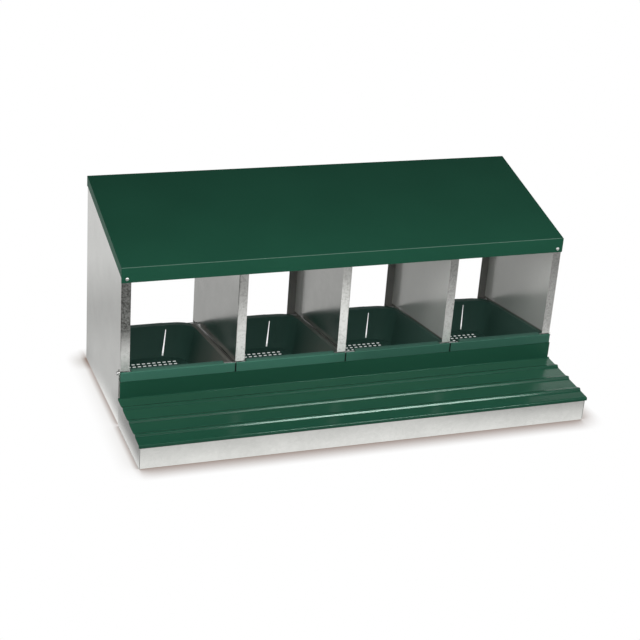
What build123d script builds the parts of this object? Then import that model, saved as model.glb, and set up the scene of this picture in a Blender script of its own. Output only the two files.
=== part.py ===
"""Nesting box for hens: four laying nests under a sloping roof, over an egg tray with a hinged lid.

Millimetres, Z up, the front of the box faces -Y. The origin is on the floor, under the middle of the
whole outline, from the front edge of the lid to the rivet heads behind the roof.
"""
import os
from math import sqrt

from build123d import *

# Driving sizes
nest_count = 4
nest_pitch = 250.0
body_depth = 335.0
back_height = 440.0
front_height = 360.0
tray_reach = 191.0
opening_bottom = 127.2
sheet = 0.8
wall = 2.5
rod_r = 3.0

# Clearances: flat sheets at rest, sheets that pass each other, seats on a rod, a rod or rivet in its hole
skin_gap = 0.2
slide_gap = 0.4
seat_gap = 0.3
hole_fit = 0.05

# Bends of the sheets
bend = 2.0
lid_bend = 3.0
edge_round = 1.5

# Rivets of the roof
rivet_r = 2.0
rivet_head_r = 4.0
rivet_head = 1.7
rivet_bevel = 1.1
rivet_tail_r = 2.8
rivet_tail = 1.5
fascia_rivet_inset = 11.0
fascia_rivet_up = 8.0
back_rivet_up = 9.0

# The body's outline
body_half = nest_count * nest_pitch / 2
roof_overlap = sheet + skin_gap
overall_depth = tray_reach + body_depth + roof_overlap + rivet_head
front = tray_reach - overall_depth / 2
back = front + body_depth

# The uprights: two sides and the dividers
flange = 20.0
flange_middle = flange / 2
front_relief = 2.0
top_relief = 2.0
corner_notch_depth = 6.0
corner_notch_height = 32.0
wall_screw_r = 3.0
wall_screw_low = 45.0
wall_screw_top_gap = 60.0
wall_screw_high = back_height - wall_screw_top_gap

# The roof
fascia = 33.0
side_flange = 22.0
back_flange = 25.0
roof_half = body_half + roof_overlap
roof_front = front - roof_overlap
roof_back = back + roof_overlap
roof_rise = (back_height - front_height) / (roof_back - roof_front)
roof_drop = sheet * sqrt(1 + roof_rise**2)
fascia_low = front_height - fascia
back_flange_low = back_height - back_flange
fascia_rivet_x = body_half - fascia_rivet_inset
fascia_rivet_z = fascia_low + fascia_rivet_up
back_rivet_z = back_flange_low + back_rivet_up

# The front rod: it carries the basin hooks, the lid and the tray
hinge_depth = 9.0
lip_gap = 1.9
hinge_y = front + hinge_depth
hook_top = opening_bottom - lip_gap
hinge_z = hook_top - wall - seat_gap - rod_r
ear_r = 8.0
rod_chamfer = 0.5
cap_r = 4.5
cap_length = 3.3
cap_bore = 2.1
cap_bevel = 1.0
ring_length = 2.0

# The lip of the basins, and the upstand of the lid in front of it
lip_reach = 3.0
lip_height = 21.0
lip_round = 2.4
lip_bend = 3.0
lip_seam = 0.8
upstand_gap = 1.2
upstand_lap = 0.2
lip_front = front - lip_reach
lip_low = hook_top - lip_height
lip_half = (nest_pitch - lip_seam) / 2

# The egg tray and its ribbed lid
lid_back_z = 65.0
lid_front_z = 57.0
lid_hem = 7.0
lid_overhang = 2.1
lid_ear_foot = 72.0
lid_front = front - tray_reach
lid_back = lip_front - upstand_gap - sheet
lid_top = lip_low + upstand_lap
lid_fall = (lid_back_z - lid_front_z) / (lid_back - lid_front)
rib_count = 3
rib_rise = 14.0
rib_run = 18.0
rib_height = 5.4
rib_front_flat = 31.0
rib_back_flat = 29.0
rib_pitch = (lid_back - lid_front - rib_front_flat - rib_back_flat - rib_run) / (rib_count - 1)
tray_set_back = 4.0
tray_wall = 48.0
tray_return = 8.0
tray_seam = 1.0
tray_foot = 12.0
tray_ear_foot = 50.0
tray_front = lid_front + tray_set_back
ear_inner = body_half + slide_gap
tray_inner = ear_inner + sheet + slide_gap
tray_half = tray_inner + sheet
lid_half = tray_half + lid_overhang

# The nest basins: rim, bowl, floor, egg exit and hooks
rim_margin = 4.0
rim_width = 9.0
rim_back_gap = 6.0
rim_back_width = 21.0
rim_back_z = 75.0
bowl_bow = 9.0
bowl_back_corner = 40.0
side_lean = 24.0
back_lean = 36.0
floor_back_z = 16.0
floor_front_z = 3.7
tongue_reach = 2.0
exit_margin = 12.0
exit_top = 62.0
exit_corner = 10.0
hook_clearance = 5.0
hook_leg = 12.0
rear_hook_half = 50.0
rear_hook_drop = 9.0
rear_rod_inset = 8.0
rim_half = nest_pitch / 2 - rim_margin
bowl_half = rim_half - rim_width
floor_half = bowl_half - side_lean
bowl_front = hinge_y + rod_r + seat_gap + wall
rim_back = back - rim_back_gap
bowl_back = rim_back - rim_back_width
floor_back = bowl_back - back_lean
tongue_front = front - tongue_reach
exit_half = floor_half - exit_margin
hook_half = nest_pitch / 2 - flange - hook_clearance
rim_slope = (rim_back_z - hinge_z) / (rim_back - bowl_front)
floor_slope = (floor_back_z - floor_front_z) / (floor_back - tongue_front)

# The perforated floor and the slot in the back wall
hole_size = 8.4
hole_pitch_x = 12.0
hole_pitch_y = 11.0
hole_columns = 11
hole_rows = 6
hole_margin = 23.0
slot_foot = 5.0
slot_head = 2.4
slot_offset = 45.0
slot_lean = 14.0
slot_floor_gap = 1.5
slot_rim_gap = 8.0


def roof_z(y):
    """Height of the roof's upper face at a depth."""
    return front_height + (y - roof_front) * roof_rise


def under_roof_z(y):
    """Height of the uprights' top edge at a depth, just under the roof sheet."""
    return roof_z(y) - roof_drop - skin_gap


def lid_z(y):
    """Height of the lid's upper face between its ribs at a depth."""
    return lid_back_z - (lid_back - y) * lid_fall


def rim_z(y):
    """Height of the basins' rim at a depth: it falls to the back."""
    return hinge_z + (y - bowl_front) * rim_slope


def floor_z(y):
    """Height of the basins' floor at a depth: it falls to the front, so the eggs roll out."""
    return floor_back_z - (floor_back - y) * floor_slope


def slope_plane(x, y, z, slope):
    """A plane through a point that rises to the back by the given slope."""
    return Plane(origin=(x, y, z), x_dir=(1, 0, 0), z_dir=(0, -slope, 1))


# The rear rod carries the back rims of the basins
rear_rod_y = rim_back - rear_rod_inset
rear_rod_z = rim_z(rear_rod_y) - wall * sqrt(1 + rim_slope**2) - seat_gap - rod_r
ring_inner = body_half - sheet - seat_gap - ring_length

# Each upright: the outer face of its web, the way its flanges turn, and whether it is a side of the box
divider_face = sheet / 2
uprights = {
    "side_panel_left": (-body_half, 1, True),
    "divider_left": (-nest_pitch - divider_face, 1, False),
    "divider_middle": (divider_face, -1, False),
    "divider_right": (nest_pitch + divider_face, -1, False),
    "side_panel_right": (body_half, -1, True),
}
back_rivet_x = [face_x + turn * flange_middle for face_x, turn, is_side in uprights.values()]


def upright(face_x, turn, is_side):
    """A sheet upright with front and back flanges that turn to one side."""
    flange_x = face_x + turn * flange_middle
    middle_y = (front + back) / 2
    with BuildPart() as panel:
        with BuildSketch() as section:
            with Locations((flange_x, middle_y)):
                Rectangle(flange, body_depth)
            with Locations((flange_x + turn * sheet, middle_y)):
                Rectangle(flange, body_depth - 2 * sheet, mode=Mode.SUBTRACT)
            fillet(section.vertices().group_by(Axis.X, reverse=turn < 0)[1], bend - sheet)
            fillet(section.vertices().group_by(Axis.X, reverse=turn < 0)[0], bend)
        extrude(amount=back_height)

        # The top edge under the sloping roof, with its corners off for the roof's bends
        with BuildSketch(Plane.YZ):
            with BuildLine():
                Polyline(
                    (front, under_roof_z(front) - top_relief),
                    (front + top_relief, under_roof_z(front + top_relief)),
                    (back - top_relief, under_roof_z(back - top_relief)),
                    (back, under_roof_z(back) - top_relief),
                    (back, 2 * back_height),
                    (front, 2 * back_height),
                    close=True,
                )
            make_face()
        extrude(amount=2 * body_half, both=True, mode=Mode.SUBTRACT)

        # No flange below the opening, where the basin lips and the lid stand in front
        with BuildSketch(Plane.YZ):
            with Locations((front, 0)):
                Rectangle(front_relief, opening_bottom, align=(Align.MIN, Align.MIN))
                if is_side:
                    Rectangle(corner_notch_depth, corner_notch_height, align=(Align.MIN, Align.MIN))
        extrude(amount=2 * body_half, both=True, mode=Mode.SUBTRACT)

        # Rod holes through the web
        with BuildSketch(Plane.YZ):
            with Locations((hinge_y, hinge_z), (rear_rod_y, rear_rod_z)):
                Circle(rod_r + hole_fit)
        extrude(amount=2 * body_half, both=True, mode=Mode.SUBTRACT)

        # Holes in the back flange: the roof rivet, and on the sides two wall screws
        with BuildSketch(Plane.XZ.offset(-back)):
            with Locations((flange_x, back_rivet_z)):
                Circle(rivet_r + hole_fit)
            if is_side:
                with Locations((flange_x, wall_screw_low), (flange_x, wall_screw_high)):
                    Circle(wall_screw_r)
        extrude(amount=2 * sheet, mode=Mode.SUBTRACT)

        # The fascia rivet in the front flange of a side
        if is_side:
            with BuildSketch(Plane.XZ.offset(-front)):
                with Locations((-turn * fascia_rivet_x, fascia_rivet_z)):
                    Circle(rivet_r + hole_fit)
            extrude(amount=-2 * sheet, mode=Mode.SUBTRACT)
    return panel.part


def rivet_row(places, outward):
    """Rivets through the roof and an upright: bevelled heads outside, flat tails inside."""
    planes = [Plane(origin=place, x_dir=(1, 0, 0), z_dir=(0, outward, 0)) for place in places]
    grip = roof_overlap + sheet
    with BuildPart() as rivets:
        with BuildSketch(*planes):
            Circle(rivet_head_r)
        extrude(amount=rivet_head)
        chamfer(rivets.edges().group_by(Axis.Y, reverse=outward > 0)[0], rivet_bevel)
        with BuildSketch(*planes):
            Circle(rivet_r)
        extrude(amount=-grip)
        with BuildSketch(*[plane.offset(-grip) for plane in planes]):
            Circle(rivet_tail_r)
        extrude(amount=-rivet_tail)
    return rivets.part


def rod(half, y, z):
    """A straight round rod along the row of nests."""
    with BuildPart() as bar:
        with BuildSketch(Plane.YZ):
            with Locations((y, z)):
                Circle(rod_r)
        extrude(amount=half, both=True)
        chamfer(bar.edges().filter_by(GeomType.CIRCLE), rod_chamfer)
    return bar.part


def rod_caps(inner, length, bore, y, z):
    """The two push caps on the ends of a rod, or rings on it where the bore goes right through."""
    planes = [Plane(origin=(side * inner, y, z), x_dir=(0, 1, 0), z_dir=(side, 0, 0)) for side in (-1, 1)]
    with BuildPart() as caps:
        with BuildSketch(*planes):
            Circle(cap_r)
        extrude(amount=length)
        chamfer(caps.edges().group_by(Axis.X)[0], cap_bevel)
        chamfer(caps.edges().group_by(Axis.X)[-1], cap_bevel)
        with BuildSketch(*planes):
            Circle(rod_r + hole_fit)
        extrude(amount=bore, mode=Mode.SUBTRACT)
    return caps.part


def basin_outline(plane, half, length, corner):
    """Outline of a basin on a sloping plane: square in front, bowed and rounded at the back."""
    with BuildSketch(plane) as outline:
        with BuildLine():
            Polyline((-half, length - bowl_bow), (-half, 0), (half, 0), (half, length - bowl_bow))
            ThreePointArc((half, length - bowl_bow), (0, length), (-half, length - bowl_bow))
        make_face()
        fillet(outline.vertices().group_by(Axis.Y)[1], corner)
    return outline.sketch


def nest_basin(x):
    """A plastic basin: it hooks over the front rod and rests on the rear one."""
    outer_front = bowl_front - wall
    rim_stretch = sqrt(1 + rim_slope**2)
    floor_stretch = sqrt(1 + floor_slope**2)
    rim_plane = slope_plane(x, bowl_front, rim_z(bowl_front), rim_slope)
    outer_rim_plane = slope_plane(x, outer_front, rim_z(outer_front), rim_slope)
    floor_plane = slope_plane(x, bowl_front, floor_z(bowl_front), floor_slope)
    outer_floor_plane = slope_plane(x, outer_front, floor_z(outer_front), floor_slope).offset(-wall)
    bowl_length = (bowl_back - bowl_front) * rim_stretch
    floor_length = (floor_back - bowl_front) * floor_stretch
    outer_corner = bowl_back_corner + wall
    with BuildPart() as basin:
        # Outside of the bowl, the flat rim round it, then the inside
        low = basin_outline(outer_floor_plane, floor_half + wall, floor_length + 2 * wall, outer_corner)
        high = basin_outline(outer_rim_plane, bowl_half + wall, bowl_length + 2 * wall, outer_corner)
        loft([low.face(), high.face()], ruled=True)
        rim_length = (rim_back - outer_front) * rim_stretch
        rim_corner = bowl_back_corner + rim_width
        extrude(basin_outline(outer_rim_plane, rim_half, rim_length, rim_corner), amount=-wall)
        low = basin_outline(floor_plane, floor_half, floor_length, bowl_back_corner)
        high = basin_outline(rim_plane, bowl_half, bowl_length, bowl_back_corner)
        loft([low.face(), high.face()], ruled=True, mode=Mode.SUBTRACT)

        # Egg exit low in the front wall, and the tongue that takes the eggs over to the tray
        exit_bottom = floor_z(bowl_front + wall)
        with BuildSketch(Plane.XZ.offset(-bowl_front - wall)) as way_out:
            with Locations((x, exit_bottom)):
                Rectangle(2 * exit_half, exit_top - exit_bottom, align=(Align.CENTER, Align.MIN))
            fillet(way_out.vertices().group_by(Axis.Y)[1], exit_corner)
        extrude(amount=3 * wall, mode=Mode.SUBTRACT)
        with BuildSketch(floor_plane):
            Rectangle(2 * exit_half, bowl_front - tongue_front, align=(Align.CENTER, Align.MAX))
        extrude(amount=-wall)

        # Hook over the front rod, and the wider lip in front of it
        with BuildSketch(Plane.YZ.offset(x)):
            with BuildLine():
                FilletPolyline(
                    (lip_front, lip_low),
                    (lip_front, hook_top),
                    (bowl_front, hook_top),
                    (bowl_front, hook_top - hook_leg),
                    radius=lip_bend,
                )
                offset(amount=wall, side=Side.RIGHT)
            make_face()
        extrude(amount=hook_half, both=True)
        with BuildSketch(Plane.YZ.offset(x)) as lip:
            with Locations((lip_front, hook_top)):
                Rectangle(wall, lip_height, align=(Align.MIN, Align.MAX))
            fillet(lip.vertices().group_by(Axis.Y)[-1].sort_by(Axis.X)[0], lip_round)
        extrude(amount=lip_half, both=True)

        # Hook behind the rear rod
        with BuildSketch(Plane.YZ.offset(x)):
            with BuildLine():
                Polyline(
                    (rim_back - wall, rim_back_z - rear_hook_drop),
                    (rim_back, rim_back_z - rear_hook_drop),
                    (rim_back, rim_back_z),
                    (rim_back - wall, rim_z(rim_back - wall)),
                    close=True,
                )
            make_face()
        extrude(amount=rear_hook_half, both=True)

        # Perforated floor
        hole_middle = floor_back - hole_margin - (hole_rows - 1) * hole_pitch_y / 2
        with BuildSketch(slope_plane(x, hole_middle, floor_z(hole_middle), floor_slope)):
            with GridLocations(hole_pitch_x, hole_pitch_y, hole_columns, hole_rows):
                Rectangle(hole_size, hole_size)
        extrude(amount=-2 * wall, mode=Mode.SUBTRACT)

        # Slot in the back wall, between the floor and the rim: it leans, and narrows upwards
        slot_low = floor_back_z + slot_floor_gap
        slot_high = rim_z(bowl_back) - slot_rim_gap
        slot_back = bowl_back + 2 * wall
        foot_x = x + slot_offset - slot_lean / 2
        head_x = x + slot_offset + slot_lean / 2
        with BuildSketch(Plane.XZ.offset(-slot_back)):
            with BuildLine():
                Polyline(
                    (foot_x - slot_foot / 2, slot_low),
                    (foot_x + slot_foot / 2, slot_low),
                    (head_x + slot_head / 2, slot_high),
                    (head_x - slot_head / 2, slot_high),
                    close=True,
                )
            make_face()
        extrude(amount=slot_back - floor_back + bowl_bow, mode=Mode.SUBTRACT)
    return basin.part


# The sloping roof: one sheet with a fascia, two side flanges and a back flange
roof_inner_front = roof_front + sheet
roof_inner_back = roof_back - sheet
with BuildPart() as roof:
    with BuildSketch(Plane.YZ):
        with BuildLine():
            FilletPolyline(
                (roof_front, fascia_low),
                (roof_front, front_height),
                (roof_back, back_height),
                (roof_back, back_flange_low),
                radius=bend,
            )
            Polyline(
                (roof_back, back_flange_low),
                (roof_inner_back, back_flange_low),
                (roof_inner_back, roof_z(roof_inner_back) - side_flange),
                (roof_inner_front, roof_z(roof_inner_front) - side_flange),
                (roof_inner_front, fascia_low),
                (roof_front, fascia_low),
            )
        make_face()
    extrude(amount=roof_half, both=True)
    with BuildSketch(Plane.YZ):
        with BuildLine():
            FilletPolyline(
                (roof_inner_front, 0),
                (roof_inner_front, roof_z(roof_inner_front) - roof_drop),
                (roof_inner_back, roof_z(roof_inner_back) - roof_drop),
                (roof_inner_back, 0),
                radius=bend - sheet,
            )
            Line((roof_inner_back, 0), (roof_inner_front, 0))
        make_face()
    extrude(amount=roof_half - sheet, both=True, mode=Mode.SUBTRACT)

    # Rounded bends along the two side edges
    edge_plane = Plane(origin=(0, roof_front, front_height), x_dir=(1, 0, 0), z_dir=(0, -1, -roof_rise))
    with BuildSketch(edge_plane):
        with Locations((-roof_half, 0), (roof_half, 0)):
            Rectangle(2 * edge_round, 2 * edge_round)
        with Locations((edge_round - roof_half, -edge_round), (roof_half - edge_round, -edge_round)):
            Circle(edge_round, mode=Mode.SUBTRACT)
    extrude(amount=2 * body_depth, both=True, mode=Mode.SUBTRACT)

    # Rivet holes in the fascia and in the back flange
    with BuildSketch(Plane.XZ.offset(-roof_front)):
        with Locations((-fascia_rivet_x, fascia_rivet_z), (fascia_rivet_x, fascia_rivet_z)):
            Circle(rivet_r + hole_fit)
    extrude(amount=-2 * sheet, mode=Mode.SUBTRACT)
    with BuildSketch(Plane.XZ.offset(-roof_back)):
        with Locations(*[(x, back_rivet_z) for x in back_rivet_x]):
            Circle(rivet_r + hole_fit)
    extrude(amount=2 * sheet, mode=Mode.SUBTRACT)

# Egg tray: floor and front wall in one fold
with BuildPart() as egg_tray:
    with BuildSketch(Plane.YZ):
        with BuildLine():
            FilletPolyline(
                (front - tray_seam, 0),
                (tray_front, 0),
                (tray_front, tray_wall),
                (tray_front + tray_return, tray_wall),
                radius=bend,
            )
            offset(amount=sheet, side=Side.RIGHT)
        make_face()
    extrude(amount=tray_inner - tray_seam, both=True)
    with BuildSketch(Plane.XY):
        with Locations((0, tray_front + bend)):
            Rectangle(2 * tray_half, front - tray_seam - tray_front - bend, align=(Align.CENTER, Align.MIN))
    extrude(amount=sheet)

# Ends of the tray: a foot on its floor, and a cheek that rises to an ear on the front rod
cheek_drop = sheet + skin_gap
foot_z = sheet + skin_gap
foot_front = tray_front + 2 * bend
foot_back = front - tray_seam
with BuildPart() as tray_end_right:
    with BuildSketch(Plane.XZ.offset(-foot_front)):
        with BuildLine():
            FilletPolyline(
                (tray_half - tray_foot, foot_z),
                (tray_half, foot_z),
                (tray_half, foot_z + 2 * bend),
                radius=bend,
            )
            offset(amount=sheet, side=Side.LEFT)
        make_face()
    extrude(amount=foot_front - foot_back)
    with BuildSketch(Plane.YZ.offset(tray_inner)):
        with BuildLine():
            Polyline(
                (tray_front, foot_z + bend),
                (foot_back, foot_z + bend),
                (foot_back, tray_ear_foot),
                (hinge_y + ear_r, tray_ear_foot),
                (hinge_y + ear_r, hinge_z),
                (hinge_y - ear_r, hinge_z),
                (hinge_y - ear_r, lid_back_z - cheek_drop),
                (lid_back, lid_back_z - cheek_drop),
                (tray_front, lid_z(tray_front) - cheek_drop),
                close=True,
            )
        make_face()
        with Locations((hinge_y, hinge_z)):
            Circle(ear_r)
            Circle(rod_r + hole_fit, mode=Mode.SUBTRACT)
    extrude(amount=sheet)
with BuildPart() as tray_end_left:
    mirror(tray_end_right.part, about=Plane.YZ)

# Ribbed lid of the tray: one sheet with an upstand behind and a hem in front
lid_points = [(lid_back, lid_top), (lid_back, lid_back_z)]
for index in range(rib_count):
    rib_front = lid_front + rib_front_flat + (rib_count - 1 - index) * rib_pitch
    rib_back = rib_front + rib_run
    rib_peak = rib_back - rib_rise
    lid_points += [
        (rib_back, lid_z(rib_back)),
        (rib_peak, lid_z(rib_peak) + rib_height),
        (rib_front, lid_z(rib_front)),
    ]
lid_points += [(lid_front, lid_front_z), (lid_front, lid_front_z - lid_hem)]
with BuildPart() as egg_lid:
    with BuildSketch(Plane.YZ):
        with BuildLine():
            FilletPolyline(*lid_points, radius=lid_bend)
            offset(amount=sheet, side=Side.LEFT)
        make_face()
    extrude(amount=lid_half, both=True)

    # The upstand is shorter than the panel, and ends at its two ears
    for side in (-1, 1):
        with Locations((side * ear_inner, lid_back, lid_back_z + lid_bend)):
            Box(
                lid_half,
                2 * tray_reach,
                lid_top,
                align=(Align.MIN if side > 0 else Align.MAX, Align.CENTER, Align.MIN),
                mode=Mode.SUBTRACT,
            )

# The lid's ears: flat plates on the ends of its upstand, outside the sides of the box
with BuildPart() as lid_ears:
    with BuildSketch(Plane.YZ.offset(ear_inner), Plane.YZ.offset(-ear_inner - sheet)):
        with BuildLine():
            Polyline(
                (lid_back, lid_ear_foot),
                (hinge_y + ear_r, lid_ear_foot),
                (hinge_y + ear_r, hinge_z),
                (hinge_y - ear_r, hinge_z),
                (hinge_y - ear_r, lid_top),
                (lid_back, lid_top),
                close=True,
            )
        make_face()
        with Locations((hinge_y, hinge_z)):
            Circle(ear_r)
            Circle(rod_r + hole_fit, mode=Mode.SUBTRACT)
    extrude(amount=sheet)

# Every piece under its own name
fascia_rivet_places = [(x, roof_front, fascia_rivet_z) for x in (-fascia_rivet_x, fascia_rivet_x)]
back_rivet_places = [(x, roof_back, back_rivet_z) for x in back_rivet_x]
pieces = {
    "roof": roof.part,
    "fascia_rivets": rivet_row(fascia_rivet_places, -1),
    "back_rivets": rivet_row(back_rivet_places, 1),
    "front_rod": rod(tray_half + cap_bore, hinge_y, hinge_z),
    "front_rod_caps": rod_caps(tray_half + seat_gap, cap_length, cap_bore, hinge_y, hinge_z),
    "rear_rod": rod(body_half, rear_rod_y, rear_rod_z),
    "rear_rod_caps": rod_caps(ring_inner, ring_length, ring_length, rear_rod_y, rear_rod_z),
    "egg_tray": egg_tray.part,
    "tray_end_left": tray_end_left.part,
    "tray_end_right": tray_end_right.part,
    "egg_lid": egg_lid.part,
    "lid_ears": lid_ears.part,
}
for name, (face_x, turn, is_side) in uprights.items():
    pieces[name] = upright(face_x, turn, is_side)
for number in range(nest_count):
    pieces[f"nest_basin_{number + 1}"] = nest_basin((number + 0.5) * nest_pitch - body_half)

os.makedirs("parts", exist_ok=True)
for name, piece in pieces.items():
    piece.label = name
    export_step(piece, f"parts/{name}.step")
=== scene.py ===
"""Looks of a nesting box for hens: spangled zinc sheet, green coated sheet and moulded basins.

Metres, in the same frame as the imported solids: Z up, the front of the box faces -Y.
"""
from math import pi, radians

import bpy
from mathutils import Matrix, Quaternion, Vector


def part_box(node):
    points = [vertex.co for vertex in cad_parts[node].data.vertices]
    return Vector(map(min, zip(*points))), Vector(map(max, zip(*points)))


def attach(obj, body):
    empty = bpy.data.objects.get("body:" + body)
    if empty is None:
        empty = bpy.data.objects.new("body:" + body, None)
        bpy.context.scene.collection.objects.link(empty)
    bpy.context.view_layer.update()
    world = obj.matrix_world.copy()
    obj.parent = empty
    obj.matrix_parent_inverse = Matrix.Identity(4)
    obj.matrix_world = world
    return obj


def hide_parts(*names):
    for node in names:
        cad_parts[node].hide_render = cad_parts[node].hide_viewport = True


bl_info = {
    "name": "Nesting box looks",
    "version": (1, 0, 0),
    "blender": (4, 5, 0),
    "location": "View3D > Sidebar > Nesting box",
    "description": "Finishes, fixings and studio of a nesting box for hens",
    "category": "Object",
}

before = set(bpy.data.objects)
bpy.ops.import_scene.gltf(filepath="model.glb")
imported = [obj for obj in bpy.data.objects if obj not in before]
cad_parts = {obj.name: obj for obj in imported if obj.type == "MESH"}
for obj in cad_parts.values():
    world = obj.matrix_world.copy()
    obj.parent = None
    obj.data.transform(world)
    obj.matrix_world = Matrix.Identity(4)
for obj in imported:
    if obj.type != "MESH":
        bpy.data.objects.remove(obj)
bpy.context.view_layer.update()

# Nodes of the frame, by finish
UPRIGHT_NODES = ("side_panel_left", "divider_left", "divider_middle", "divider_right", "side_panel_right")
PATCHED_NODES = UPRIGHT_NODES[:1]
ZINC_NODES = (*UPRIGHT_NODES[1:], "egg_tray", "tray_end_left", "tray_end_right", "lid_ears")
BASIN_NODES = ("nest_basin_1", "nest_basin_2", "nest_basin_3", "nest_basin_4")
ROD_NODES = ("front_rod", "rear_rod")
CAP_NODES = ("front_rod_caps", "rear_rod_caps")

# Places on the box
FRONT_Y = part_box("side_panel_left")[0].y
BACK_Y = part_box("side_panel_left")[1].y
LID_FRONT_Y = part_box("egg_lid")[0].y
HALF_ROW = 0.5
HALF_NEST = HALF_ROW / len(BASIN_NODES)
# The plane of the basins' rims, where it meets the front and the back of the uprights
RIM_FRONT_Z = 0.1216
RIM_BACK_Z = 0.0742

# Colours of wear, dirt, painted light and shade, and small parts
# Painted reflection on the feet of the uprights' front flanges
PAINTED_REFLECTION_ZINC = (0.92, 0.925, 0.90)
BRUSHED_ZINC = (0.92, 0.92, 0.89)
SHADED_ZINC = (0.30, 0.295, 0.28)
DARK_SPECK = (0.42, 0.42, 0.40)
PATCH_DARK = (0.10, 0.10, 0.095)
PATCH_LIGHT = (0.34, 0.345, 0.33)
# Painted shade on the webs below the basins' rims
PAINTED_SHADE_ZINC = (0.20, 0.195, 0.175)
# Painted highlight along the roof's bend above the fascia
PAINTED_BEND_HIGHLIGHT = (0.085, 0.150, 0.118)
DARK_JOINT = (0.006, 0.010, 0.008)
BRIGHT_METAL = (0.85, 0.85, 0.84)
DULL_METAL = (0.7, 0.7, 0.69)
BRIGHT_ROD = (0.66, 0.67, 0.67)
DULL_ROD = (0.5, 0.5, 0.5)

# Colours of the studio
WHITE = (1, 1, 1)
BLACK = (0, 0, 0)
MATT_FLOOR = (0.82, 0.82, 0.82)
GREY_SHADOW = (0.42, 0.38, 0.34)
WARM_SHADOW = (0.16, 0.07, 0.03)
UNDER_BASINS = (0.55, 0.59, 0.575)
COOL_LIGHT = (0.8, 1.0, 0.92)


class SheetLooks(bpy.types.PropertyGroup):
    """Sizes and colours of the two kinds of sheet metal."""

    zinc_bright: bpy.props.FloatVectorProperty(
        name="Bright zinc", description="Colour of the bright zinc crystals", subtype="COLOR",
        default=(0.755, 0.758, 0.730), min=0, max=1)
    zinc_dull: bpy.props.FloatVectorProperty(
        name="Dull zinc", description="Colour of the dull zinc crystals", subtype="COLOR",
        default=(0.665, 0.668, 0.642), min=0, max=1)
    crystal: bpy.props.FloatProperty(
        name="Crystal size", description="Width of a zinc crystal", unit="LENGTH", default=0.007, min=0.001)
    dull_low: bpy.props.FloatProperty(
        name="Dull patch", description="Height above which the left front flange is dull", unit="LENGTH",
        default=0.185, min=0)
    green_deep: bpy.props.FloatVectorProperty(
        name="Deep green", description="Darker tone of the green coating", subtype="COLOR",
        default=(0.0108, 0.0635, 0.0375), min=0, max=1)
    green_light: bpy.props.FloatVectorProperty(
        name="Light green", description="Lighter tone of the green coating", subtype="COLOR",
        default=(0.0123, 0.071, 0.042), min=0, max=1)
    # Lighter colour of the lid: painted light towards its back and on back-facing slopes
    lid_painted_light: bpy.props.FloatVectorProperty(
        name="Dust", description="Colour of the coating under the dust on the lid", subtype="COLOR",
        default=(0.027, 0.100, 0.062), min=0, max=1)
    lid_gloss: bpy.props.FloatProperty(
        name="Lid gloss", description="Weight of the gloss on the lid's front ribs", subtype="FACTOR",
        default=0.24, min=0, max=1)


class BasinLooks(bpy.types.PropertyGroup):
    """Colours of the moulded basins."""

    bowl: bpy.props.FloatVectorProperty(
        name="Bowl", description="Colour of the plastic in the bowl", subtype="COLOR",
        default=(0.043, 0.108, 0.086), min=0, max=1)
    # Paler brown-grey of walls and rims: scuffing, with painted light and reflection
    scuff_and_sheen: bpy.props.FloatVectorProperty(
        name="Scuffs", description="Colour of the scuffed side walls and rims", subtype="COLOR",
        default=(0.20, 0.187, 0.168), min=0, max=1)
    lip: bpy.props.FloatVectorProperty(
        name="Lip", description="Colour of the lip, faded by daylight", subtype="COLOR",
        default=(0.034, 0.113, 0.080), min=0, max=1)


class RivetLooks(bpy.types.PropertyGroup):
    """Sizes of the pop rivets that hold the roof."""

    head: bpy.props.FloatProperty(
        name="Head", description="Radius of the head", unit="LENGTH", default=0.004, min=0.001)
    crown: bpy.props.FloatProperty(
        name="Crown", description="Height of the head", unit="LENGTH", default=0.0017, min=0.0005)
    shank: bpy.props.FloatProperty(
        name="Shank", description="Radius of the shank in the sheets", unit="LENGTH",
        default=0.002, min=0.0005)
    tail: bpy.props.FloatProperty(
        name="Tail", description="Radius of the spread tail", unit="LENGTH", default=0.0028, min=0.001)
    spread: bpy.props.FloatProperty(
        name="Spread", description="Length of the spread tail", unit="LENGTH", default=0.0015, min=0.0005)
    bore: bpy.props.FloatProperty(
        name="Bore", description="Radius of the hole that the pulled pin leaves in the head", unit="LENGTH",
        default=0.0014, min=0.0005)


class StudioLooks(bpy.types.PropertyGroup):
    """Light, floor and camera."""

    fill_power: bpy.props.FloatProperty(
        name="Fill", description="Power of the weak lamp at the left", unit="POWER", default=2, min=0)
    ambient: bpy.props.FloatProperty(
        name="Ambient", description="Strength of the light from all round", default=0.33, min=0)
    key_power: bpy.props.FloatProperty(
        name="Key", description="Power of the soft box", unit="POWER", default=10.5, min=0)
    strip_power: bpy.props.FloatProperty(
        name="Strip", description="Power of the strip light that the lid's ribs mirror", unit="POWER",
        default=16.5, min=0)
    card_power: bpy.props.FloatProperty(
        name="Card", description="Power of the pale card that the lid's right end mirrors", unit="POWER",
        default=1.3, min=0)
    shadow: bpy.props.FloatProperty(
        name="Shadow", description="Reach of the soft shadow at the foot of the box", unit="LENGTH",
        default=0.05)
    lens: bpy.props.FloatProperty(
        name="Lens", description="Focal length of the camera", unit="CAMERA", default=86.93, min=1)


# Steps that the materials are made of

def place(tree, kind, sockets=None, **settings):
    """Adds a node, sets its options, and sets or links its input sockets."""
    added = tree.nodes.new(kind)
    for option, value in settings.items():
        setattr(added, option, value)
    for socket, value in (sockets or {}).items():
        if isinstance(value, bpy.types.NodeSocket):
            tree.links.new(value, added.inputs[socket])
        else:
            added.inputs[socket].default_value = value
    return added


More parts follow.
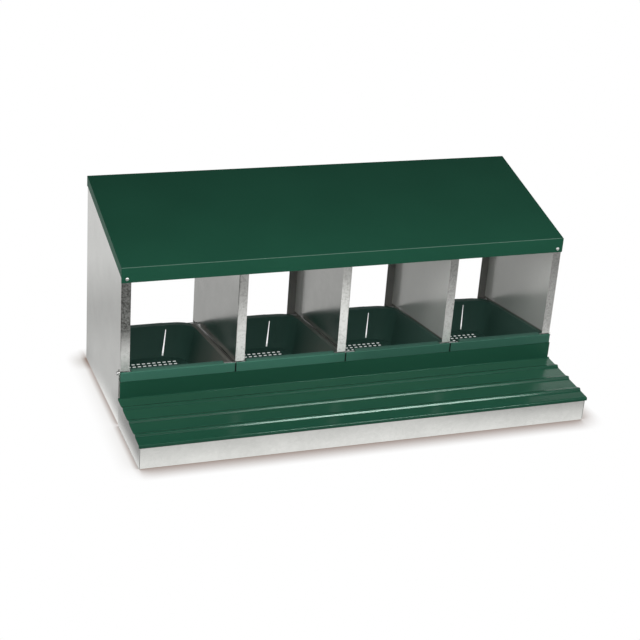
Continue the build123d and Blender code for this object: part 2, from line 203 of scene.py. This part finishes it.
def mix_colour(tree, factor, first, second):
    """A colour between two others, by a factor."""
    mixer = tree.nodes.new("ShaderNodeMix")
    mixer.data_type = "RGBA"
    tree.links.new(factor, mixer.inputs["Factor"])
    for socket, colour in ((mixer.inputs[6], first), (mixer.inputs[7], second)):
        if isinstance(colour, bpy.types.NodeSocket):
            tree.links.new(colour, socket)
        else:
            socket.default_value = (*colour, 1)
    return mixer.outputs[2]


def mix_value(tree, factor, first, second):
    """A value between two others, by a factor."""
    return place(tree, "ShaderNodeMix", {"Factor": factor, "A": first, "B": second}).outputs["Result"]


def remap(tree, value, low, high, from_low=0.0, from_high=1.0):
    """A value stretched from one range to another, and held inside it."""
    stretched = place(
        tree, "ShaderNodeMapRange",
        {"Value": value, "From Min": from_low, "From Max": from_high, "To Min": low, "To Max": high})
    return stretched.outputs["Result"]


def rise(tree, value, start, end):
    """A mask that rises from 0 to 1 as a value goes from start to end."""
    return remap(tree, value, 0.0, 1.0, start, end)


def fall(tree, value, start, end):
    """A mask that falls from 1 to 0 as a value goes from start to end."""
    return remap(tree, value, 1.0, 0.0, start, end)


def maths(tree, operation, first, *others):
    """One or more steps of the same arithmetic on sockets or numbers, from left to right."""
    if not others:
        return place(tree, "ShaderNodeMath", {0: first}, operation=operation).outputs[0]
    for other in others:
        first = place(tree, "ShaderNodeMath", {0: first, 1: other}, operation=operation).outputs[0]
    return first


def split(tree, vector):
    """The three parts of a vector."""
    return place(tree, "ShaderNodeSeparateXYZ", {"Vector": vector}).outputs


def facing(tree):
    """The three parts of the direction that a surface faces, which turns with its piece."""
    return split(tree, place(tree, "ShaderNodeTexCoord").outputs["Normal"])


def new_group(name, inputs, outputs):
    """An empty shader node group with named sockets, and its two end nodes."""
    group = bpy.data.node_groups.new(name, "ShaderNodeTree")
    for label, kind in inputs:
        group.interface.new_socket(label, in_out="INPUT", socket_type=kind)
    for label in outputs:
        group.interface.new_socket(label, in_out="OUTPUT", socket_type="NodeSocketFloat")
    return group, group.nodes.new("NodeGroupInput"), group.nodes.new("NodeGroupOutput")


def cloud_group():
    """Soft clouds of tone at any scale."""
    name = "Soft clouds"
    if name in bpy.data.node_groups:
        return bpy.data.node_groups[name]
    group, start, end = new_group(
        name, (("Vector", "NodeSocketVector"), ("Scale", "NodeSocketFloat")), ("Tone",))
    noise = place(
        group, "ShaderNodeTexNoise",
        {"Vector": start.outputs["Vector"], "Scale": start.outputs["Scale"],
         "Detail": 4.0, "Roughness": 0.55})
    group.links.new(rise(group, noise.outputs["Fac"], 0.3, 0.7), end.inputs["Tone"])
    return group


def spangle_group():
    """Zinc crystals: one tone for each crystal, with feathered edges."""
    name = "Zinc spangle"
    if name in bpy.data.node_groups:
        return bpy.data.node_groups[name]
    group, start, end = new_group(
        name, (("Vector", "NodeSocketVector"), ("Scale", "NodeSocketFloat")), ("Tone",))
    feather = place(
        group, "ShaderNodeTexNoise",
        {"Vector": start.outputs["Vector"], "Scale": 420.0, "Detail": 2.0})
    shift = place(
        group, "ShaderNodeVectorMath",
        {0: feather.outputs["Color"], 1: (0.006, 0.006, 0.006), 2: start.outputs["Vector"]},
        operation="MULTIPLY_ADD")
    crystals = place(
        group, "ShaderNodeTexVoronoi",
        {"Vector": shift.outputs["Vector"], "Scale": start.outputs["Scale"], "Randomness": 1.0})
    parts = place(group, "ShaderNodeSeparateColor", {"Color": crystals.outputs["Color"]})
    group.links.new(parts.outputs["Red"], end.inputs["Tone"])
    return group


def use_group(tree, group, vector, scale):
    """Places a shared pattern in a material and gives its tone."""
    used = place(tree, "ShaderNodeGroup", node_tree=group)
    tree.links.new(vector, used.inputs["Vector"])
    used.inputs["Scale"].default_value = scale
    return used.outputs["Tone"]


def new_material(name):
    """A material with its shader, and the object's own coordinates."""
    material = bpy.data.materials.new(name)
    material.use_nodes = True
    tree = material.node_tree
    coordinates = place(tree, "ShaderNodeTexCoord").outputs["Object"]
    return material, tree, tree.nodes["Principled BSDF"], coordinates


def bump(tree, height, strength, distance):
    """A normal from a height that varies over the surface."""
    bumpy = place(tree, "ShaderNodeBump", {"Height": height, "Strength": strength, "Distance": distance})
    return bumpy.outputs["Normal"]


# Zinc sheet

def front_flange(tree, y, z):
    """A mask of the uprights' front flanges, above the lips of the basins."""
    return maths(
        tree, "MULTIPLY", fall(tree, y, FRONT_Y + 0.001, FRONT_Y + 0.003), rise(tree, z, 0.10, 0.12))


def painted_reflection_foot(tree, x, z):
    """A mask of the pale foot of the flanges, strongest on the second and third uprights: a painted
    reflection of the bright floor in front.
    """
    off_centre = maths(tree, "ABSOLUTE", maths(tree, "ADD", x, 0.12))
    return maths(
        tree, "MULTIPLY",
        remap(tree, z, 0.8, 0.0, 0.14, 0.30), remap(tree, off_centre, 1.0, 0.1, 0.15, 0.60))


def back_shade(tree, y, along):
    """A mask of the inner faces of the uprights' back flanges."""
    return maths(
        tree, "MULTIPLY", rise(tree, y, BACK_Y - 0.003, BACK_Y - 0.001), fall(tree, along, -0.8, -0.5))


def matt_sheet(tree, x, y):
    """A mask of the matt sheets: those right of the middle, and the back of the middle one."""
    at_back = maths(
        tree, "MULTIPLY", rise(tree, x, -0.2, -0.1), remap(tree, y, 0.0, 0.65, BACK_Y - 0.07, BACK_Y - 0.03))
    return maths(tree, "MAXIMUM", remap(tree, x, 0.0, 0.6, 0.05, 0.20), at_back)


def behind_basins(tree, x, y, z):
    """A mask of what lies inside the row and below the rims of the basins, where shade is painted on the
    uprights.
    """
    rim_z = remap(tree, y, RIM_FRONT_Z, RIM_BACK_Z, FRONT_Y, BACK_Y)
    below = rise(tree, maths(tree, "SUBTRACT", rim_z, z), -0.0015, 0.0005)
    inside = fall(tree, maths(tree, "ABSOLUTE", x), HALF_ROW - 0.0006, HALF_ROW - 0.0002)
    return maths(tree, "MULTIPLY", below, inside)


def zinc_material(name, looks, has_patch):
    """Galvanised sheet: faint crystals, pale and matt areas, a painted reflection on the feet of the front
    flanges, painted shade on the back flanges and on the webs below the basins' rims, and on one piece a
    dull patch.
    """
    material, tree, shader, coordinates = new_material(name)
    crystals = use_group(tree, spangle_group(), coordinates, 1 / looks.crystal)
    mottle = use_group(tree, spangle_group(), coordinates, 2 / looks.crystal)
    clouds = use_group(tree, cloud_group(), coordinates, 14.0)
    waves = use_group(tree, cloud_group(), coordinates, 2.2)
    x, y, z = split(tree, coordinates)
    across, along, up = facing(tree)
    on_web = rise(tree, maths(tree, "ABSOLUTE", across), 0.80, 0.95)
    on_flange = front_flange(tree, y, z)
    # pale: a painted reflection of the bright floor, on the feet of the front flanges
    pale = maths(tree, "MULTIPLY", on_flange, painted_reflection_foot(tree, x, z))
    specks = maths(tree, "MULTIPLY", on_flange, remap(tree, mottle, 0.0, 0.45, 0.5, 1.0))
    shaded = back_shade(tree, y, along)
    brushed = maths(tree, "MULTIPLY", matt_sheet(tree, x, y), on_web)
    # Painted shade on the webs below the basins' rims
    painted_shade_below_rims = maths(tree, "MULTIPLY", behind_basins(tree, x, y, z), on_web)

    tone = mix_value(tree, 0.65, crystals, clouds)
    colour = mix_colour(tree, tone, tuple(looks.zinc_dull), tuple(looks.zinc_bright))
    # Painted reflection on the feet of the front flanges
    colour = mix_colour(tree, pale, colour, PAINTED_REFLECTION_ZINC)
    colour = mix_colour(tree, specks, colour, DARK_SPECK)
    colour = mix_colour(tree, shaded, colour, SHADED_ZINC)
    roughness = remap(tree, crystals, 0.19, 0.21)
    if has_patch:
        above = rise(tree, z, looks.dull_low - 0.02, looks.dull_low + 0.04)
        patch = maths(tree, "MULTIPLY", on_flange, above)
        dull = mix_colour(tree, mottle, PATCH_DARK, PATCH_LIGHT)
        colour = mix_colour(tree, patch, colour, dull)
        roughness = maths(tree, "MAXIMUM", roughness, remap(tree, patch, 0.1, 0.4))
    colour = mix_colour(tree, brushed, colour, BRUSHED_ZINC)
    # Painted shade below the basins' rims
    colour = mix_colour(tree, painted_shade_below_rims, colour, PAINTED_SHADE_ZINC)
    level = remap(tree, up, 0.0, 0.6, 0.80, 0.95)
    matt = maths(
        tree, "MAXIMUM",
        pale, brushed, level, maths(tree, "MULTIPLY", shaded, 0.8), maths(tree, "MULTIPLY", painted_shade_below_rims, 0.95))

    tree.links.new(colour, shader.inputs["Base Color"])
    tree.links.new(roughness, shader.inputs["Roughness"])
    tree.links.new(maths(tree, "SUBTRACT", 1.0, matt), shader.inputs["Metallic"])
    tree.links.new(bump(tree, waves, 0.06, 0.003), shader.inputs["Normal"])
    return material


# Green sheet

def green_base(name, looks, gloss, roughness):
    """Green coated sheet, satin, with a faint grain, and its plain colour."""
    material, tree, shader, coordinates = new_material(name)
    clouds = use_group(tree, cloud_group(), coordinates, 5.0)
    grain = use_group(tree, cloud_group(), coordinates, 900.0)
    tree.links.new(remap(tree, clouds, roughness, roughness + 0.04), shader.inputs["Roughness"])
    tree.links.new(bump(tree, grain, 0.05, 0.0004), shader.inputs["Normal"])
    shader.inputs["Specular IOR Level"].default_value = gloss
    colour = mix_colour(tree, clouds, tuple(looks.green_deep), tuple(looks.green_light))
    return material, tree, shader, coordinates, colour


def roof_material(looks):
    """The roof: green sheet with its side flanges painted lighter, as painted light, and a painted highlight
    along the bend above the fascia.
    """
    material, tree, shader, _, colour = green_base("green_roof_sheet", looks, 0.06, 0.4)
    across, along = facing(tree)[:2]
    # The side flanges are coloured lighter: painted light from the side
    painted_light_sides = rise(tree, maths(tree, "ABSOLUTE", across), 0.8, 0.95)
    colour = mix_colour(tree, painted_light_sides, colour, tuple(1.6 * Vector(looks.green_deep)))
    # Painted highlight along the bend above the fascia
    painted_bend_mask = maths(tree, "MULTIPLY", rise(tree, along, -0.35, -0.50), fall(tree, along, -0.85, -0.97))
    colour = mix_colour(tree, painted_bend_mask, colour, PAINTED_BEND_HIGHLIGHT)
    tree.links.new(colour, shader.inputs["Base Color"])
    return material


def lid_material(looks):
    """The lid: green sheet coloured lighter towards the back and on back-facing slopes, as painted light,
    and a gloss on the front faces of its front ribs.
    """
    roughness = 0.17
    material, tree, shader, coordinates, colour = green_base("green_lid_sheet", looks, 0.02, roughness)
    y = split(tree, coordinates)[1]
    along, up = facing(tree)[1:]
    # Painted light: lighter towards the back, in the upstand's shade, and on slopes that face the back;
    # darker on faces that face the front
    lid_painted_light = maths(
        tree, "ADD",
        remap(tree, y, 0.02, 0.87, LID_FRONT_Y, FRONT_Y), remap(tree, along, -0.6, 0.6, -0.7, 0.35))
    colour = mix_colour(tree, lid_painted_light, colour, tuple(looks.lid_painted_light))
    on_slopes = remap(tree, y, 1.0, 0.2, LID_FRONT_Y + 0.105, LID_FRONT_Y + 0.140)
    on_flats = 0.3
    glossy = mix_value(tree, rise(tree, up, 0.6, 0.95), on_slopes, on_flats)
    tree.links.new(colour, shader.inputs["Base Color"])
    tree.links.new(remap(tree, glossy, 0.0, looks.lid_gloss), shader.inputs["Coat Weight"])
    shader.inputs["Coat Roughness"].default_value = roughness
    return material


# Plastic and small metal parts

def scuffs_and_sheen(tree, x, y, z, clouds):
    """A mask of scuffing and painted light on the basins: on the front of their side walls, where light
    falls, and a painted reflection on the rims at their sides.
    """
    across, _, up = facing(tree)
    on_wall = maths(
        tree, "MULTIPLY",
        rise(tree, maths(tree, "ABSOLUTE", across), 0.80, 0.96),
        fall(tree, y, FRONT_Y + 0.04, FRONT_Y + 0.24),
        remap(tree, clouds, 0.6, 1.0))
    off_joint = maths(tree, "PINGPONG", x, HALF_NEST)
    on_rim = maths(
        tree, "MULTIPLY",
        remap(tree, up, 0.0, 0.8, 0.90, 0.97),
        rise(tree, z, 0.05, 0.07),
        fall(tree, off_joint, 0.013, 0.016))
    return maths(tree, "MAXIMUM", on_wall, on_rim)


def joint_lines(tree, x):
    """A mask of the dark lines where two basins meet."""
    off_joint = maths(tree, "PINGPONG", x, HALF_NEST)
    inner = fall(tree, maths(tree, "ABSOLUTE", x), 0.40, 0.45)
    return maths(tree, "MULTIPLY", fall(tree, off_joint, 0.0010, 0.0022), inner)


def plastic_material(looks):
    """Moulded plastic: dark in the bowl, scuffed with painted light and reflection on walls and rims, and
    faded on the lip.

    The two basins at the left are the more used ones.
    """
    material, tree, shader, coordinates = new_material("moulded_plastic")
    clouds = use_group(tree, cloud_group(), coordinates, 12.0)
    grain = use_group(tree, cloud_group(), coordinates, 700.0)
    x, y, z = split(tree, coordinates)
    used = remap(tree, x, 1.0, 0.1, -0.05, 0.05)
    faded = fall(tree, y, FRONT_Y, FRONT_Y + 0.02)
    # Side walls and rims: scuffing, with painted light on the walls and a painted reflection on the rims
    scuffed = maths(tree, "MULTIPLY", scuffs_and_sheen(tree, x, y, z, clouds), used)
    colour = mix_colour(tree, scuffed, tuple(looks.bowl), tuple(looks.scuff_and_sheen))
    lip = mix_colour(tree, used, tuple(looks.lip), tuple(1.4 * Vector(looks.lip)))
    colour = mix_colour(tree, faded, colour, lip)
    joint = maths(tree, "MULTIPLY", joint_lines(tree, x), faded)
    colour = mix_colour(tree, joint, colour, DARK_JOINT)
    worn = maths(tree, "SUBTRACT", remap(tree, clouds, 0.56, 0.64), maths(tree, "MULTIPLY", faded, 0.28))
    tree.links.new(colour, shader.inputs["Base Color"])
    tree.links.new(worn, shader.inputs["Roughness"])
    tree.links.new(bump(tree, grain, 0.08, 0.0004), shader.inputs["Normal"])
    shader.inputs["Specular IOR Level"].default_value = 0.12
    return material


def metal_material(name, bright, dull, roughness):
    """Small plain metal parts with a little tone."""
    material, tree, shader, coordinates = new_material(name)
    clouds = use_group(tree, cloud_group(), coordinates, 150.0)
    tree.links.new(mix_colour(tree, clouds, dull, bright), shader.inputs["Base Color"])
    tree.links.new(remap(tree, clouds, roughness, roughness + 0.12), shader.inputs["Roughness"])
    shader.inputs["Metallic"].default_value = 1.0
    return material


def dress(names, material):
    """Gives one material to several nodes of the frame."""
    for name in names:
        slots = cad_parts[name].data.materials
        slots.clear()
        slots.append(material)


class NESTBOX_OT_zinc(bpy.types.Operator):
    """Finish the galvanised sheets"""

    bl_idname = "nestbox.zinc"
    bl_label = "Zinc sheets"

    def execute(self, context):
        looks = context.scene.nestbox_sheet
        dress(PATCHED_NODES, zinc_material("patched_zinc_sheet", looks, True))
        dress(ZINC_NODES, zinc_material("zinc_sheet", looks, False))
        return {"FINISHED"}


class NESTBOX_OT_green(bpy.types.Operator):
    """Finish the roof and the lid"""

    bl_idname = "nestbox.green"
    bl_label = "Green sheets"

    def execute(self, context):
        looks = context.scene.nestbox_sheet
        dress(("roof",), roof_material(looks))
        dress(("egg_lid",), lid_material(looks))
        return {"FINISHED"}


class NESTBOX_OT_basins(bpy.types.Operator):
    """Finish the basins"""

    bl_idname = "nestbox.basins"
    bl_label = "Basins"

    def execute(self, context):
        dress(BASIN_NODES, plastic_material(context.scene.nestbox_basin))
        return {"FINISHED"}


class NESTBOX_OT_rods(bpy.types.Operator):
    """Finish the rods and their caps"""

    bl_idname = "nestbox.rods"
    bl_label = "Rods"

    def execute(self, context):
        dress(ROD_NODES, metal_material("plated_rod", BRIGHT_ROD, DULL_ROD, 0.25))
        dress(CAP_NODES, metal_material("bright_cap", BRIGHT_METAL, DULL_METAL, 0.3))
        return {"FINISHED"}


class NESTBOX_OT_rivets(bpy.types.Operator):
    """Make the pop rivets of the roof, with domed heads and the hole that the pulled pin leaves"""

    bl_idname = "nestbox.rivets"
    bl_label = "Rivets"

    def execute(self, context):
        looks = context.scene.nestbox_rivet
        low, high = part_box("fascia_rivets")
        pattern = self.pattern(looks, high.y - low.y)
        pattern.data.materials.append(metal_material("bright_rivet", BRIGHT_METAL, DULL_METAL, 0.3))
        ends = (low.x + looks.head, high.x - looks.head)
        self.row("fascia_rivets", pattern, ends, high.y, pi / 2)
        middles = [sum(corner.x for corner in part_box(node)) / 2 for node in UPRIGHT_NODES]
        self.row("back_rivets", pattern, middles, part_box("back_rivets")[0].y, -pi / 2)
        bpy.data.objects.remove(pattern)
        return {"FINISHED"}

    def pattern(self, looks, length):
        """One rivet, drawn out of a disc along +Z: spread tail, shank, domed head and its hole."""
        foot = length - looks.crown
        profile = (
            (0.8 * looks.tail, 0.0),
            (looks.tail, 0.2 * looks.spread),
            (looks.tail, looks.spread),
            (looks.shank, looks.spread),
            (looks.shank, foot),
            (looks.head, foot),
            (looks.head, foot + 0.2 * looks.crown),
            (0.9 * looks.head, foot + 0.55 * looks.crown),
            (0.68 * looks.head, foot + 0.88 * looks.crown),
            (0.48 * looks.head, length),
            (looks.bore, length),
            (0.95 * looks.bore, length - 0.4 * looks.crown),
            (0.7 * looks.bore, length - 0.4 * looks.crown),
            (0.6 * looks.bore, length - 0.2 * looks.crown),
        )
        bpy.ops.object.select_all(action="DESELECT")
        radius, height = profile[0]
        bpy.ops.mesh.primitive_circle_add(vertices=32, radius=radius, fill_type="NGON")
        rivet = bpy.context.object
        bpy.ops.object.mode_set(mode="EDIT")
        bpy.ops.mesh.select_all(action="SELECT")
        for next_radius, next_height in profile[1:]:
            bpy.ops.mesh.extrude_region_move(TRANSFORM_OT_translate={"value": (0, 0, next_height - height)})
            grown = next_radius / radius
            bpy.ops.transform.resize(value=(grown, grown, 1), center_override=(0, 0, next_height))
            radius, height = next_radius, next_height
        bpy.ops.mesh.select_all(action="SELECT")
        bpy.ops.mesh.normals_make_consistent(inside=False)
        bpy.ops.object.mode_set(mode="OBJECT")
        bpy.ops.object.shade_smooth_by_angle(angle=radians(40))
        return rivet

    def row(self, node, pattern, row_x, tail_y, turn):
        """Copies of the rivet in one piece, which stands for a node of the frame."""
        low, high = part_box(node)
        bpy.ops.object.select_all(action="DESELECT")
        for x in row_x:
            rivet = bpy.data.objects.new("copy", pattern.data.copy())
            spot = Vector((x, tail_y, (low.z + high.z) / 2))
            rivet.matrix_world = Matrix.Translation(spot) @ Matrix.Rotation(turn, 4, "X")
            bpy.context.collection.objects.link(rivet)
            rivet.select_set(True)
        bpy.context.view_layer.objects.active = rivet
        bpy.ops.object.join()
        bpy.ops.object.transform_apply(location=True, rotation=True, scale=True)
        rivet.name = "pop_" + node
        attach(rivet, "body")
        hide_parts(node)


class NESTBOX_OT_studio(bpy.types.Operator):
    """Set up the floor, the light and the camera"""

    bl_idname = "nestbox.studio"
    bl_label = "Studio"

    def execute(self, context):
        looks = context.scene.nestbox_studio
        context.scene.view_settings.view_transform = "Standard"
        bpy.ops.object.select_all(action="DESELECT")
        self.floor(looks)
        self.world(context, looks)
        self.lamps(looks)
        self.camera(context, looks)
        return {"FINISHED"}

    def floor(self, looks):
        """A white floor that keeps the box's soft shadow, and is mirrored in softer tones by the sheets."""
        bpy.ops.mesh.primitive_plane_add(size=24)
        floor = bpy.context.object
        floor.name = "floor"
        material = bpy.data.materials.new("pale_floor")
        material.use_nodes = True
        tree = material.node_tree
        tree.nodes.remove(tree.nodes["Principled BSDF"])
        path = place(tree, "ShaderNodeLightPath").outputs
        x, y = split(tree, place(tree, "ShaderNodeTexCoord").outputs["Object"])[:2]
        under = self.under_basins(tree, x, y)
        brightness = maths(tree, "MULTIPLY", self.mirrored_floor(tree, x, y), remap(tree, under, 1.0, 0.2))
        mirrored = mix_colour(tree, brightness, BLACK, WHITE)
        shaded = self.shaded_floor(tree, looks, x, y, under)
        colour = mix_colour(tree, path["Is Glossy Ray"], shaded, mirrored)
        seen = maths(
            tree, "MAXIMUM", path["Is Camera Ray"], path["Is Transmission Ray"], path["Is Glossy Ray"])
        glow = place(tree, "ShaderNodeEmission", {"Color": colour})
        matt = place(tree, "ShaderNodeBsdfDiffuse", {"Color": (*MATT_FLOOR, 1)})
        shown = place(tree, "ShaderNodeMixShader", {0: seen, 1: matt.outputs[0], 2: glow.outputs[0]})
        tree.links.new(shown.outputs[0], tree.nodes["Material Output"].inputs["Surface"])
        floor.data.materials.append(material)

    def under_basins(self, tree, x, y):
        """A mask of the floor under the basins."""
        low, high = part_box("nest_basin_1")
        ahead = rise(tree, y, low.y + 0.05, low.y + 0.06)
        behind = fall(tree, y, high.y - 0.01, high.y)
        beside = fall(tree, maths(tree, "ABSOLUTE", x), -low.x - 0.01, -low.x)
        return maths(tree, "MULTIPLY", ahead, behind, beside)

    def shaded_floor(self, tree, looks, x, y, under):
        """White, with a soft shadow round the foot of the box, and light under its perforated basins.

        The shadow is warm in front and at the right, and grey at the left and inside the box.
        """
        open_sky = place(tree, "ShaderNodeAmbientOcclusion", {"Distance": looks.shadow}).outputs["AO"]
        off_left_side = rise(tree, x, -HALF_ROW - 0.015, -HALF_ROW)
        depth = maths(
            tree, "ADD", remap(tree, off_left_side, 0.6, 1.9), remap(tree, y, 0.0, 2.5, 0.20, BACK_Y))
        open_sky = maths(tree, "POWER", open_sky, depth)
        inside = maths(
            tree, "MULTIPLY",
            fall(tree, maths(tree, "ABSOLUTE", x), HALF_ROW - 0.002, HALF_ROW + 0.002),
            rise(tree, y, LID_FRONT_Y + 0.010, LID_FRONT_Y + 0.015))
        warm = maths(tree, "SUBTRACT", off_left_side, inside)
        deepest = mix_colour(tree, warm, GREY_SHADOW, WARM_SHADOW)
        shaded = mix_colour(tree, open_sky, deepest, WHITE)
        return mix_colour(tree, under, shaded, UNDER_BASINS)

    def mirrored_floor(self, tree, x, y):
        """How bright the floor looks in the sheets: brightest close in front, half dark behind the box."""
        front = remap(tree, y, 0.37, 0.82, -0.73, -0.46)
        close = maths(
            tree, "ADD", remap(tree, y, 0.0, -0.14, -0.42, -0.38), remap(tree, y, 0.0, 0.36, -0.36, -0.27))
        from_middle = maths(tree, "ABSOLUTE", maths(tree, "SUBTRACT", x, 0.18))
        middle = maths(
            tree, "MULTIPLY", remap(tree, from_middle, 0.44, 0.0, 0.05, 0.16), fall(tree, y, -0.42, -0.37))
        far_left = maths(
            tree, "MULTIPLY", remap(tree, x, 0.12, 0.0, -0.05, 0.06), fall(tree, y, -0.62, -0.50))
        bright = maths(tree, "SUBTRACT", maths(tree, "ADD", front, close, middle), far_left)

        far_right = maths(
            tree, "MULTIPLY", rise(tree, x, 0.50, 0.58), remap(tree, y, -0.12, 0.08, -0.69, -0.38))
        right = maths(tree, "ADD", remap(tree, x, 0.0, 0.40, 0.15, 0.40), far_right)
        right = maths(tree, "MULTIPLY", right, remap(tree, y, 1.0, 0.25, -0.37, -0.30))
        behind = remap(tree, y, 0.0, 0.60, 0.05, 0.30)
        beside = maths(
            tree, "ADD", remap(tree, y, 0.70, 0.42, -0.06, 0.10), remap(tree, y, 0.0, 0.08, 0.30, 0.45))
        beside = maths(tree, "SUBTRACT", beside, remap(tree, y, 0.0, 0.20, 0.55, 0.85))
        at_left = fall(tree, x, -HALF_ROW - 0.02, -HALF_ROW)
        dark = mix_value(tree, at_left, maths(tree, "ADD", right, behind), beside)
        return maths(tree, "MULTIPLY", bright, maths(tree, "SUBTRACT", 1.0, dark))

    def world(self, context, looks):
        """White behind the box, darker high up in reflections, and an even ambient light."""
        world = bpy.data.worlds.new("studio")
        world.use_nodes = True
        context.scene.world = world
        tree = world.node_tree
        path = place(tree, "ShaderNodeLightPath").outputs
        height = split(tree, place(tree, "ShaderNodeTexCoord").outputs["Generated"])[2]
        ceiling = remap(tree, height, 1.0, 0.05, 0.15, 0.45)
        lit = mix_value(tree, path["Is Glossy Ray"], looks.ambient, ceiling)
        background = tree.nodes["Background"]
        background.inputs["Color"].default_value = (*WHITE, 1)
        tree.links.new(mix_value(tree, path["Is Camera Ray"], lit, 1.0), background.inputs["Strength"])

    def lamps(self, looks):
        """A long soft box in front and above, a weak fill, and a strip and a card for the lid's gloss."""
        self.lamp(Vector((0, -0.62, 0.76)), Vector((0, 0.05, 0.15)), looks.key_power, 2.4, 0.5)
        fill = self.lamp(Vector((-1.6, -0.5, 0.7)), Vector((0, 0, 0.2)), looks.fill_power, 0.8, 0.8)
        fill.visible_glossy = False
        strip = self.lamp(
            Vector((0.30, -0.74, 0.47)), Vector((0.30, -0.2, 0.06)), looks.strip_power, 0.84, 0.14)
        strip.data.color = COOL_LIGHT
        strip.data.shape = "ELLIPSE"
        card = self.lamp(Vector((0.80, 0.2, 0.25)), Vector((0.80, -0.2, 0.25)), looks.card_power, 0.56, 0.2)
        lid_only = bpy.data.collections.new("lid_only")
        lid_only.objects.link(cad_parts["egg_lid"])
        for lamp in (strip, card):
            lamp.visible_diffuse = False
            lamp.light_linking.receiver_collection = lid_only

    def lamp(self, spot, target, power, width, height):
        """An area lamp that the camera doesn't see."""
        turn = (target - spot).to_track_quat("-Z", "Y")
        bpy.ops.object.light_add(type="AREA", location=spot, rotation=turn.to_euler())
        lamp = bpy.context.object
        lamp.visible_camera = False
        lamp.data.energy = power
        lamp.data.shape = "RECTANGLE"
        lamp.data.size = width
        lamp.data.size_y = height
        return lamp

    def camera(self, context, looks):
        """The camera at the viewing angle, tilted a little."""
        spot = Vector((-1.16814, -2.88532, 1.57134))
        target = Vector((0.01349, 0.12665, 0.11083))
        tilt = Quaternion((0, 0, 1), radians(4.409))
        turn = (target - spot).to_track_quat("-Z", "Y") @ tilt
        bpy.ops.object.camera_add(location=spot, rotation=turn.to_euler())
        camera = bpy.context.object
        camera.data.lens = looks.lens
        camera.data.sensor_width = 36
        context.scene.camera = camera


class NESTBOX_PT_sidebar(bpy.types.Panel):
    """Sizes, colours and steps of the nesting box"""

    bl_label = "Nesting box"
    bl_idname = "NESTBOX_PT_sidebar"
    bl_space_type = "VIEW_3D"
    bl_region_type = "UI"
    bl_category = "Nesting box"

    def draw(self, context):
        for group in GROUPS:
            looks = getattr(context.scene, group)
            for name in looks.__annotations__:
                self.layout.prop(looks, name)
        for operator in OPERATORS:
            self.layout.operator(operator.bl_idname)


GROUPS = {
    "nestbox_sheet": SheetLooks,
    "nestbox_basin": BasinLooks,
    "nestbox_rivet": RivetLooks,
    "nestbox_studio": StudioLooks,
}
OPERATORS = (
    NESTBOX_OT_zinc,
    NESTBOX_OT_green,
    NESTBOX_OT_basins,
    NESTBOX_OT_rods,
    NESTBOX_OT_rivets,
    NESTBOX_OT_studio,
)


def register():
    for cls in (*GROUPS.values(), *OPERATORS, NESTBOX_PT_sidebar):
        bpy.utils.register_class(cls)
    for name, cls in GROUPS.items():
        setattr(bpy.types.Scene, name, bpy.props.PointerProperty(type=cls))


def unregister():
    for name in GROUPS:
        delattr(bpy.types.Scene, name)
    for cls in (NESTBOX_PT_sidebar, *reversed(OPERATORS), *reversed(GROUPS.values())):
        bpy.utils.unregister_class(cls)


def main():
    register()
    bpy.ops.nestbox.zinc()
    bpy.ops.nestbox.green()
    bpy.ops.nestbox.basins()
    bpy.ops.nestbox.rods()
    bpy.ops.nestbox.rivets()
    bpy.ops.nestbox.studio()


if __name__ == "__main__":
    main()
